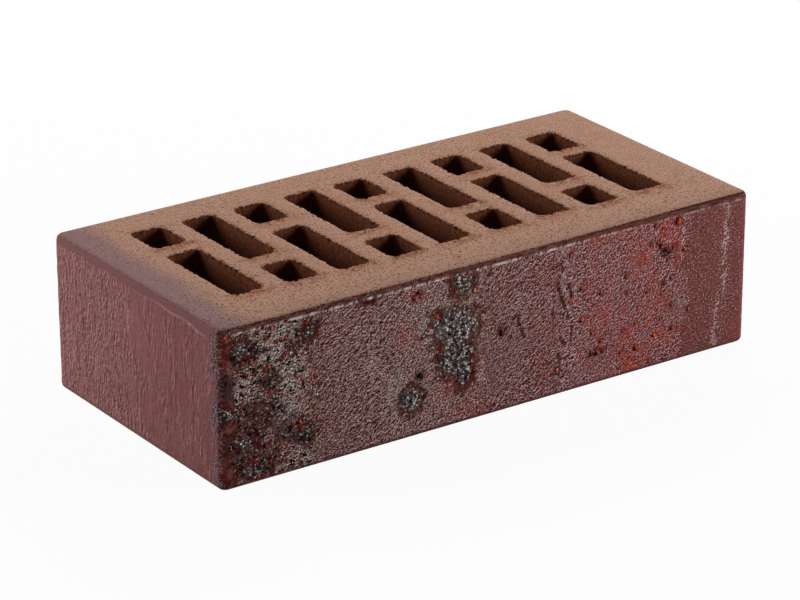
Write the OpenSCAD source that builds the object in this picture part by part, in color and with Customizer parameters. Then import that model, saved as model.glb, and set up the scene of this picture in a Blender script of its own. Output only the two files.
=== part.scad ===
// Perforated clay facing brick, extruded and wire cut, lying on its bed.
// X runs along the length, Y from the face to the back, Z up.
// The origin is at the middle of the lower bed face. Millimetres.

/* [Brick] */
// Length of the brick, header to header
brick_length = 250; // [120:1:400]
// Width of the brick, face to back
brick_width = 120; // [95:1:200]
// Height of the brick, bed to bed
brick_height = 65; // [30:1:220]

/* [Edges] */
// Radius of the four upright edges, as the die leaves them
edge_radius = 3.5; // [3:0.1:12]
// Height of the pressed bevel round each bed face
bevel_height = 2; // [0.5:0.1:10]
// Depth of the pressed bevel, in from the faces
bevel_depth = 2.5; // [0.5:0.1:2.9]

/* [Perforation] */
// Width of every slot, along the brick
slot_width = 14.2; // [8:0.1:40]
// Length of the short slot in each column
short_slot = 19; // [8:0.5:40]
// Radius of the slot corners
slot_radius = 2.5; // [0.5:0.1:3.8]
// Clay between neighbouring columns of slots
column_web = 9.3; // [4:0.1:40]
// Clay between the short and the long slot of a column
cross_web = 9; // [4:0.1:20]
// Clay between the slots and the face
front_wall = 25.5; // [10:0.5:40]
// Clay between the slots and the back
back_wall = 19.5; // [10:0.5:40]
// Least clay that the slots leave at each header
least_end_wall = 22; // [10:0.5:40]

/* [Hidden] */
$fn = 64;
clay = "#94685a";
// How far a cutter runs past the surface that it cuts
cut_over = 1;

column_pitch = slot_width + column_web;
columns = floor((brick_length - 2 * least_end_wall + column_web) / column_pitch);
first_column = -(columns - 1) / 2 * column_pitch;
// The long slot takes what the walls, the short slot and its web leave
slots_front = -brick_width / 2 + front_wall;
slots_back = brick_width / 2 - back_wall;
long_slot = slots_back - slots_front - short_slot - cross_web;

// Half of the upright profile, from a centre line out to the face
function half_profile(reach) = [
    [0, 0],
    [reach - bevel_depth, 0],
    [reach, bevel_height],
    [reach, brick_height - bevel_height],
    [reach - bevel_depth, brick_height],
    [0, brick_height]
];

// Straight bar of the whole bevelled section, along X
module bevelled_bar(run, width) {
    rotate([90, 0, 90])
        linear_extrude(height = run, center = true)
            union() {
                polygon(half_profile(width / 2));
                mirror([1, 0]) polygon(half_profile(width / 2));
            }
}

// Round upright edge, with the bevels turned as cones
module upright_edge() {
    rotate_extrude() polygon(half_profile(edge_radius));
}

// The clay blank as the die and the bevel rollers leave it
module blank() {
    corner_x = brick_length / 2 - edge_radius;
    corner_y = brick_width / 2 - edge_radius;
    bevelled_bar(2 * corner_x, brick_width);
    rotate([0, 0, 90]) bevelled_bar(2 * corner_y, brick_length);
    for (side_x = [-1, 1], side_y = [-1, 1])
        translate([side_x * corner_x, side_y * corner_y, 0]) upright_edge();
}

// Outline of one slot, its near end at the origin and its length along Y
module slot_outline(length) {
    translate([-slot_width / 2, slot_radius]) square([slot_width, length - 2 * slot_radius]);
    translate([-slot_width / 2 + slot_radius, 0]) square([slot_width - 2 * slot_radius, length]);
    for (side = [-1, 1], corner_y = [slot_radius, length - slot_radius])
        translate([side * (slot_width / 2 - slot_radius), corner_y]) circle(r = slot_radius);
}

// Cutter for one slot, right through the brick
module slot(start_y, length) {
    translate([0, start_y, -cut_over])
        linear_extrude(height = brick_height + 2 * cut_over) slot_outline(length);
}

// One column of slots: the long one lies to the front or to the back
module slot_column(long_in_front) {
    front_slot = long_in_front ? long_slot : short_slot;
    back_slot = long_in_front ? short_slot : long_slot;
    slot(slots_front, front_slot);
    slot(slots_back - back_slot, back_slot);
}

// Every second column is turned end for end, so the cross webs are staggered
module perforation() {
    for (i = [0 : columns - 1])
        translate([first_column + i * column_pitch, 0, 0])
            slot_column(long_in_front = i % 2 == 0);
}

module brick() {
    color(clay) difference() {
        blank();
        perforation();
    }
}

brick();
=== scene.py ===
import math

import bmesh
import bpy
import numpy as np
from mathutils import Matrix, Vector


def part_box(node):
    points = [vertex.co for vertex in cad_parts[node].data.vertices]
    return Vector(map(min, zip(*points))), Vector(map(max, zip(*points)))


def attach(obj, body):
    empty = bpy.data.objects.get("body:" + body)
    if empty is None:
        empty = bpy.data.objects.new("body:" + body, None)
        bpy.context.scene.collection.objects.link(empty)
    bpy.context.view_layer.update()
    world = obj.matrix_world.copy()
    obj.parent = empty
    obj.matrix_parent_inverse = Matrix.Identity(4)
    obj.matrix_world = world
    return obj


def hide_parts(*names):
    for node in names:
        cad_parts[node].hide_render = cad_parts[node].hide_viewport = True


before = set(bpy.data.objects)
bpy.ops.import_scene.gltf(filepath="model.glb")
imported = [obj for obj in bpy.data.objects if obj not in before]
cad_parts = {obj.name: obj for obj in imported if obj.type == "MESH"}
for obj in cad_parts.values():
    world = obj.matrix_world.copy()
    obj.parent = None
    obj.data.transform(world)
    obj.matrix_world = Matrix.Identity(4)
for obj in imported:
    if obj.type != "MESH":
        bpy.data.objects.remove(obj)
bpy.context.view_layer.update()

cadLow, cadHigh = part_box("brick")
mm = 0.001
scene = bpy.context.scene


def linearColour(hexText):
    # sRGB hex to the linear values that shaders take
    channels = [int(hexText[i:i + 2], 16) / 255 for i in (1, 3, 5)]
    linear = [c / 12.92 if c <= 0.04045 else ((c + 0.055) / 1.055) ** 2.4 for c in channels]
    return (*linear, 1.0)


def addNode(tree, kind, inputs=None, out=0, **settings):
    # one node with its settings and links; gives back the wanted output
    node = tree.nodes.new(kind)
    for name, value in settings.items():
        setattr(node, name, value)
    for name, value in (inputs or {}).items():
        if isinstance(value, bpy.types.NodeSocket):
            tree.links.new(value, node.inputs[name])
        else:
            node.inputs[name].default_value = value
    return node.outputs[out] if len(node.outputs) else node


def addObject(name, data):
    made = bpy.data.objects.new(name, data)
    scene.collection.objects.link(made)
    return made


def startMaterial(name, masks=()):
    # an empty material, and the painted masks that it reads
    material = bpy.data.materials.new(name)
    material.use_nodes = True
    tree = material.node_tree
    tree.nodes.clear()
    return material, tree, {n: addNode(tree, "ShaderNodeAttribute", out=2, attribute_name=n) for n in masks}


def smooth(start, end, value):
    t = np.clip((value - start) / (end - start), 0.0, 1.0)
    return t * t * (3 - 2 * t)


def drift(u, v, wave, seed):
    # slow unevenness of about -1 to 1, from a few sine waves of random lean; the wave is in mm
    random = np.random.default_rng(seed)
    total = np.zeros_like(u)
    waves = 10
    for _ in range(waves):
        lean, phase = random.uniform(0, 2 * math.pi, 2)
        turn = 2 * math.pi / (wave * random.uniform(0.6, 1.7))
        total += np.sin((u * math.cos(lean) + v * math.sin(lean)) * turn + phase)
    return total / math.sqrt(waves)


# camera and light

cameraView = {
    "lens": 171.88,              # mm
    "sensor": 36.0,              # mm
    "aim": (-2.94, 0.0, 28.02),  # mm, point of the brick in the middle of the picture
    "azimuth": -34.95,
    "elevation": 22.63,
    "distance": 1511.7,          # mm
    "nearest": 0.05,             # m, nothing closer is drawn
}


def makeCamera(view):
    azimuth, elevation = math.radians(view["azimuth"]), math.radians(view["elevation"])
    back = Vector((
        math.sin(azimuth) * math.cos(elevation),
        -math.cos(azimuth) * math.cos(elevation),
        math.sin(elevation),
    ))
    data = bpy.data.cameras.new("camera")
    data.lens = view["lens"]
    data.sensor_width = view["sensor"]
    data.clip_start = view["nearest"]
    camera = addObject("camera", data)
    camera.location = Vector(view["aim"]) * mm + back * view["distance"] * mm
    camera.rotation_euler = (-back).to_track_quat("-Z", "Y").to_euler()
    scene.camera = camera


studio = {
    "ambient": 0.06,       # strength of the white room
    "floorTone": "#D8D8D8",
    "floorLift": 0.945,    # how far the floor is lifted to white for the camera
    "floorRadius": 9.0,    # m
    "floorSides": 96,
    "lamps": [
        # name, place in m, aim in m, width and height in m, power in W
        ("softboxKey", (1.1, 1.0, 1.05), (0, 0, 0), (0.7, 0.7), 21.5),
        ("softboxRight", (1.25, -0.96, 0.58), (0, 0, 0.03), (0.9, 0.8), 27.0),
        ("softboxLeft", (-1.05, 1.2, 0.62), (0, 0, 0.03), (2.2, 1.2), 33.0),
    ],
}


def lookedAt(tree):
    # 1 on rays that look at the backdrop, straight or in a reflection, and 0 on those that only light
    path = addNode(tree, "ShaderNodeLightPath").node
    seen = path.outputs["Is Camera Ray"]
    for ray in ("Is Glossy Ray", "Is Transmission Ray"):
        seen = addNode(tree, "ShaderNodeMath", {0: seen, 1: path.outputs[ray]}, operation="MAXIMUM")
    return seen


def makeRoom(settings):
    world = bpy.data.worlds.new("studio")
    world.use_nodes = True
    scene.world = world
    tree = world.node_tree
    tree.nodes.clear()
    strength = addNode(tree, "ShaderNodeMapRange",
                       {"Value": lookedAt(tree), "To Min": settings["ambient"], "To Max": 1.0})
    light = addNode(tree, "ShaderNodeBackground", {"Color": (1, 1, 1, 1), "Strength": strength})
    addNode(tree, "ShaderNodeOutputWorld", {"Surface": light})
    for name, place, aim, size, power in settings["lamps"]:
        data = bpy.data.lights.new(name, "AREA")
        data.shape = "ELLIPSE"
        data.size, data.size_y = size
        data.energy = power
        lamp = addObject(name, data)
        lamp.location = place
        lamp.rotation_euler = (Vector(aim) - Vector(place)).to_track_quat("-Z", "Y").to_euler()


def makeFloor(settings):
    # matt white floor paint: plain, with a soft shadow, lifted to white where it is looked at
    paint, tree, _ = startMaterial("matt white floor paint")
    matt = addNode(tree, "ShaderNodeBsdfDiffuse", {"Color": linearColour(settings["floorTone"])})
    white = addNode(tree, "ShaderNodeEmission", {"Color": (1, 1, 1, 1), "Strength": 1.0})
    lift = addNode(tree, "ShaderNodeMath", {0: lookedAt(tree), 1: settings["floorLift"]},
                   operation="MULTIPLY")
    shown = addNode(tree, "ShaderNodeMixShader", {0: lift, 1: matt, 2: white})
    addNode(tree, "ShaderNodeOutputMaterial", {"Surface": shown})
    mesh = bpy.data.meshes.new("floor")
    shape = bmesh.new()
    bmesh.ops.create_circle(shape, cap_ends=True, segments=settings["floorSides"],
                            radius=settings["floorRadius"])
    shape.to_mesh(mesh)
    shape.free()
    mesh.materials.append(paint)
    floor = addObject("floor", mesh)
    print("studio:", len(settings["lamps"]), "softboxes and a floor")


# the clay block: sizes in mm, as the brick was extruded and cut

block = {
    "length": (cadHigh.x - cadLow.x) / mm,
    "width": (cadHigh.y - cadLow.y) / mm,
    "height": (cadHigh.z - cadLow.z) / mm,
    "edgeRadius": 3.5,
    # worn shoulder between face and bed: way in from the face, drop below the bed
    "shoulder": [(0.0, 2.6), (0.1, 1.8), (0.32, 1.2), (0.68, 0.7), (1.15, 0.34), (1.75, 0.1), (2.5, 0.0)],
    "cutEdge": 0.95,   # drop down to which the shoulder has the cut clay's texture
    "slotWidth": 14.2,
    "shortSlot": 19.0,
    "slotRadius": 2.5,
    "columnWeb": 9.3,
    "crossWeb": 9.0,
    "frontWall": 25.5,
    "backWall": 19.5,
    "leastEndWall": 22.0,
    # how far the cores wandered, x and y, column by column: front slot, then back slot
    "wander": [
        [(-1.1, 1.2), (-0.5, 1.0)], [(-0.8, 0.0), (-0.8, 0.6)], [(-1.5, -0.8), (-0.9, 0.4)],
        [(-1.2, -1.2), (-0.7, 0.0)], [(-1.1, -0.5), (-0.8, -0.4)], [(0.0, -0.8), (-0.6, -0.9)],
        [(0.0, 0.2), (-0.3, 0.0)], [(-0.7, -1.5), (0.2, -0.7)], [(-0.3, 0.5), (0.2, -0.8)],
    ],
    "seed": 11,
}
# spacing of the mesh in mm: fine where the texture shows
spacing = {
    "face": 0.6,
    "header": 0.85,
    "plainSide": 1.5,
    "row": 0.62,
    "plainRow": 3.0,
    "corner": 8,       # cells round an upright edge
    "bed": 1.3,
    "underBed": 3.4,
    "rim": 0.62,
    "plainRim": 2.6,
    "slotCorner": 5,   # cells round a slot corner
    "plainSlotCorner": 2,
}

points, facing, faces, zones = [], [], [], []
zoneNames = ["skin", "bed", "slotWall"]


def addPoints(places, normals=None):
    first = len(points)
    points.extend(map(tuple, places))
    facing.extend(map(tuple, np.zeros((len(places), 2)) if normals is None else normals))
    return np.arange(first, len(points))


def addFaces(cells, zone):
    faces.extend(cells)
    zones.extend([zoneNames.index(zone)] * len(cells))


def addSheet(index, zone, keep=None):
    corners = [index[:-1, :-1], index[:-1, 1:], index[1:, 1:], index[1:, :-1]]
    cells = np.stack(corners, -1).reshape(-1, 4)
    if keep is not None:
        cells = cells[keep.ravel()]
    addFaces(cells.tolist(), zone)


def stitch(first, second, zone):
    # triangles between two rows of points that may differ in number
    i = j = 0
    made = []
    while i < len(first) - 1 or j < len(second) - 1:
        if j == len(second) - 1:
            stepFirst = True
        elif i == len(first) - 1:
            stepFirst = False
        else:
            ahead = math.dist(points[first[i + 1]], points[second[j]])
            stepFirst = ahead < math.dist(points[first[i]], points[second[j + 1]])
        if stepFirst:
            made.append([int(first[i]), int(first[i + 1]), int(second[j])])
            i += 1
        else:
            made.append([int(first[i]), int(second[j + 1]), int(second[j])])
            j += 1
    addFaces(made, zone)


def closed(loop):
    return np.append(loop, loop[0])


def stitchLoop(first, second, zone):
    gaps = [math.dist(points[first[0]], points[k]) for k in second]
    second = np.roll(second, -int(np.argmin(gaps)))
    stitch(closed(first), closed(second), zone)


def subdivide(stops, step):
    line = [stops[0]]
    for start, end in zip(stops, stops[1:]):
        cells = max(1, round((end - start) / step))
        line += [start + (end - start) * k / cells for k in range(1, cells + 1)]
    return np.array(line)


def roundedOutline(x0, x1, y0, y1, radius, steps, cornerCells):
    # eight runs, counter-clockwise from the front: points on the outline, and their outward directions
    corners = [(x0, y0), (x1, y0), (x1, y1), (x0, y1)]
    runs = []
    for side in range(4):
        start, end = np.array(corners[side]), np.array(corners[(side + 1) % 4])
        along = (end - start) / np.linalg.norm(end - start)
        outward = np.array([along[1], -along[0]])
        start, end = start + along * radius, end - along * radius
        cells = max(1, round(np.linalg.norm(end - start) / steps[side]))
        share = (np.arange(cells) / cells)[:, None]
        runs.append((start + (end - start) * share, np.tile(outward, (cells, 1))))
        centre = end - outward * radius
        angle = math.atan2(outward[1], outward[0]) + np.arange(cornerCells) / cornerCells * math.pi / 2
        normal = np.stack([np.cos(angle), np.sin(angle)], 1)
        runs.append((centre + radius * normal, normal))
    return runs


def joinRuns(runs):
    return np.concatenate([r[0] for r in runs]), np.concatenate([r[1] for r in runs])


def slotPlaces():
    # rule of the perforation: long and short slot in each column, turned end for end in every second one
    pitch = block["slotWidth"] + block["columnWeb"]
    room = block["length"] - 2 * block["leastEndWall"] + block["columnWeb"]
    columns = math.floor(room / pitch)
    front = -block["width"] / 2 + block["frontWall"]
    back = block["width"] / 2 - block["backWall"]
    longSlot = back - front - block["shortSlot"] - block["crossWeb"]
    places = []
    for i in range(columns):
        x = (i - (columns - 1) / 2) * pitch
        frontSlot = longSlot if i % 2 == 0 else block["shortSlot"]
        backSlot = block["shortSlot"] if i % 2 == 0 else longSlot
        x0, x1 = x - block["slotWidth"] / 2, x + block["slotWidth"] / 2
        spans = [(front, front + frontSlot), (back - backSlot, back)]
        for (y0, y1), (dx, dy) in zip(spans, block["wander"][i]):
            places.append((x0 + dx, x1 + dx, y0 + dy, y1 + dy))
    return places


def wallSheet(runs, step, shoulder):
    base, normal = joinRuns(runs)
    height = block["height"]
    inset, drop = np.array(shoulder).T
    straight = subdivide([drop[0], height - drop[0]], step)[1:-1]
    levels = np.concatenate([drop[::-1], straight, height - drop])
    insets = np.concatenate([inset[::-1], np.zeros(len(straight)), inset])
    plan = base[None] - insets[:, None, None] * normal[None]
    level = np.broadcast_to(levels[:, None, None], plan.shape[:2] + (1,))
    places = np.concatenate([plan, level], 2).reshape(-1, 3)
    index = addPoints(places, np.tile(normal, (len(levels), 1))).reshape(len(levels), len(base))
    # the cut clay runs over the shoulder
    middle = np.repeat((levels[1:] + levels[:-1])[:, None] / 2, len(base) - 1, 1)
    cut = np.minimum(middle, height - middle) < block["cutEdge"]
    addSheet(index, "skin", ~cut)
    addSheet(index, "bed", cut)
    return index


rim = {
    "margin": 1.9,      # mm of clay round a slot that follows its outline
    "edgeMargin": 1.4,  # mm of bed inside the shoulder
    "chips": 0.32,      # share of rim points that are broken out
    "chipSize": 1.35,   # mm
    "chipDepth": 0.6,   # mm below the bed over which the chips fade
    "chipReach": 0.8,   # mm out from the slot past which they are faint
    "wear": 0.13,       # mm of plain unevenness
    "swell": 0.25,      # mm by which the rim stands into the slot between the chips
    # way out from the slot and depth below the bed, in mm
    "upper": [(1.3, 0.0), (0.4, 0.02), (0.0, 0.3), (0.0, 1.3)],
    "lower": [(1.3, 0.0), (0.0, 0.4)],
    "walls": [5.0, 14.0, 30.0, 50.0],
}


def slotLoop(place, step, cornerCells):
    runs = roundedOutline(*place, block["slotRadius"], [step] * 4, cornerCells)
    return joinRuns(runs)


def slotRings(place, settings, step, cornerCells, bedLevel, down, random):
    base, normal = slotLoop(place, step, cornerCells)
    # the wire breaks out the right and the back side of a slot most
    toRight, toBack, toFront = (np.clip(v, 0, 1) for v in (normal[:, 0], normal[:, 1], -normal[:, 1]))
    weak = 0.4 + 0.9 * toRight + 0.9 * toBack + 0.2 * toFront
    chip = (random.random(len(base)) < rim["chips"] * weak) * random.uniform(0.3, 1.0, len(base)) ** 1.5
    chip = np.maximum(chip, 0.2 * np.maximum(np.roll(chip, 1), np.roll(chip, -1))) * rim["chipSize"]
    wear = random.normal(0, rim["wear"], len(base)) - rim["swell"] * (1 + np.clip(normal.max(1), 0, 1))
    rings = []
    for out, depth in settings:
        near = math.exp(-depth / rim["chipDepth"]) * (1.0 if out < rim["chipReach"] else 0.3)
        plan = base + normal * (out + (chip + wear) * near)[:, None]
        level = bedLevel + down * (depth + 0.5 * chip * near * (depth > 0))
        rings.append(addPoints(np.column_stack([plan, level])))
    return rings


def bedSheet(bedLevel, down, outline, settings, step, rimStep, cornerCells, random):
    inset = block["shoulder"][-1][0] + rim["edgeMargin"]
    x1, y1 = block["length"] / 2 - inset, block["width"] / 2 - inset
    margin = rim["margin"]
    grown = [(a - margin, b + margin, c - margin, d + margin) for a, b, c, d in slots]
    xs = subdivide(sorted({-x1, x1, *(v for g in grown for v in g[:2])}), step)
    ys = subdivide(sorted({-y1, y1, *(v for g in grown for v in g[2:])}), step)
    gridX, gridY = np.meshgrid(xs, ys)
    index = addPoints(np.column_stack([gridX.ravel(), gridY.ravel(), np.full(gridX.size, bedLevel)]))
    index = index.reshape(gridX.shape)
    midX, midY = np.meshgrid((xs[1:] + xs[:-1]) / 2, (ys[1:] + ys[:-1]) / 2)
    clay = np.ones(midX.shape, bool)
    for a, b, c, d in grown:
        clay &= ~((midX > a) & (midX < b) & (midY > c) & (midY < d))
    addSheet(index, "bed", clay)

    def border(i0, i1, j0, j1):
        return np.concatenate([index[j0, i0:i1], index[j0:j1, i1], index[j1, i1:i0:-1], index[j1:j0:-1, i0]])

    stitchLoop(outline, border(0, len(xs) - 1, 0, len(ys) - 1), "bed")
    ends = []
    slack = 1e-6  # mm, for finding a line of the grid again
    for place, (a, b, c, d) in zip(slots, grown):
        i0, i1 = np.searchsorted(xs, [a - slack, b - slack])
        j0, j1 = np.searchsorted(ys, [c - slack, d - slack])
        rings = slotRings(place, settings, rimStep, cornerCells, bedLevel, down, random)
        stitchLoop(border(i0, i1, j0, j1), rings[0], "bed")
        for k, (upper, lower) in enumerate(zip(rings, rings[1:])):
            addSheet(np.stack([closed(upper), closed(lower)]), "bed" if k == 0 else "slotWall")
        ends.append(rings[-1])
    return ends


def buildBlock():
    random = np.random.default_rng(block["seed"])
    steps = [spacing["face"], spacing["plainSide"], spacing["plainSide"], spacing["header"]]
    halfX, halfY, height = block["length"] / 2, block["width"] / 2, block["height"]
    runs = roundedOutline(-halfX, halfX, -halfY, halfY, block["edgeRadius"], steps, spacing["corner"])
    front, frontRight, right, backRight, back, backLeft, left, frontLeft = runs
    seenRuns = [left, frontLeft, front, frontRight, (right[0][:1], right[1][:1])]
    hiddenRuns = [(right[0][1:], right[1][1:]), backRight, back, backLeft]
    seen = wallSheet(seenRuns, spacing["row"], block["shoulder"])
    hidden = wallSheet(hiddenRuns, spacing["plainRow"], block["shoulder"][::2])
    stitch(seen[:, -1], hidden[:, 0], "skin")
    stitch(hidden[:, -1], seen[:, 0], "skin")
    upperLoop = np.concatenate([seen[-1], hidden[-1]])
    lowerLoop = np.concatenate([seen[0], hidden[0]])
    upperEnds = bedSheet(height, -1, upperLoop, rim["upper"], spacing["bed"], spacing["rim"],
                         spacing["slotCorner"], random)
    lowerEnds = bedSheet(0.0, 1, lowerLoop, rim["lower"], spacing["underBed"], spacing["plainRim"],
                         spacing["plainSlotCorner"], random)
    for place, upper, lower in zip(slots, upperEnds, lowerEnds):
        base, _ = slotLoop(place, spacing["plainRim"], spacing["plainSlotCorner"])
        for depth in rim["walls"]:
            loop = addPoints(np.column_stack([base, np.full(len(base), height - depth)]))
            stitchLoop(upper, loop, "slotWall")
            upper = loop
        stitchLoop(upper, lower, "slotWall")


slots = slotPlaces()
buildBlock()
print("block:", len(points), "points,", len(faces), "faces")


# what the kiln left on the brick: places on the front face in mm, x along it and z up

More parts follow.
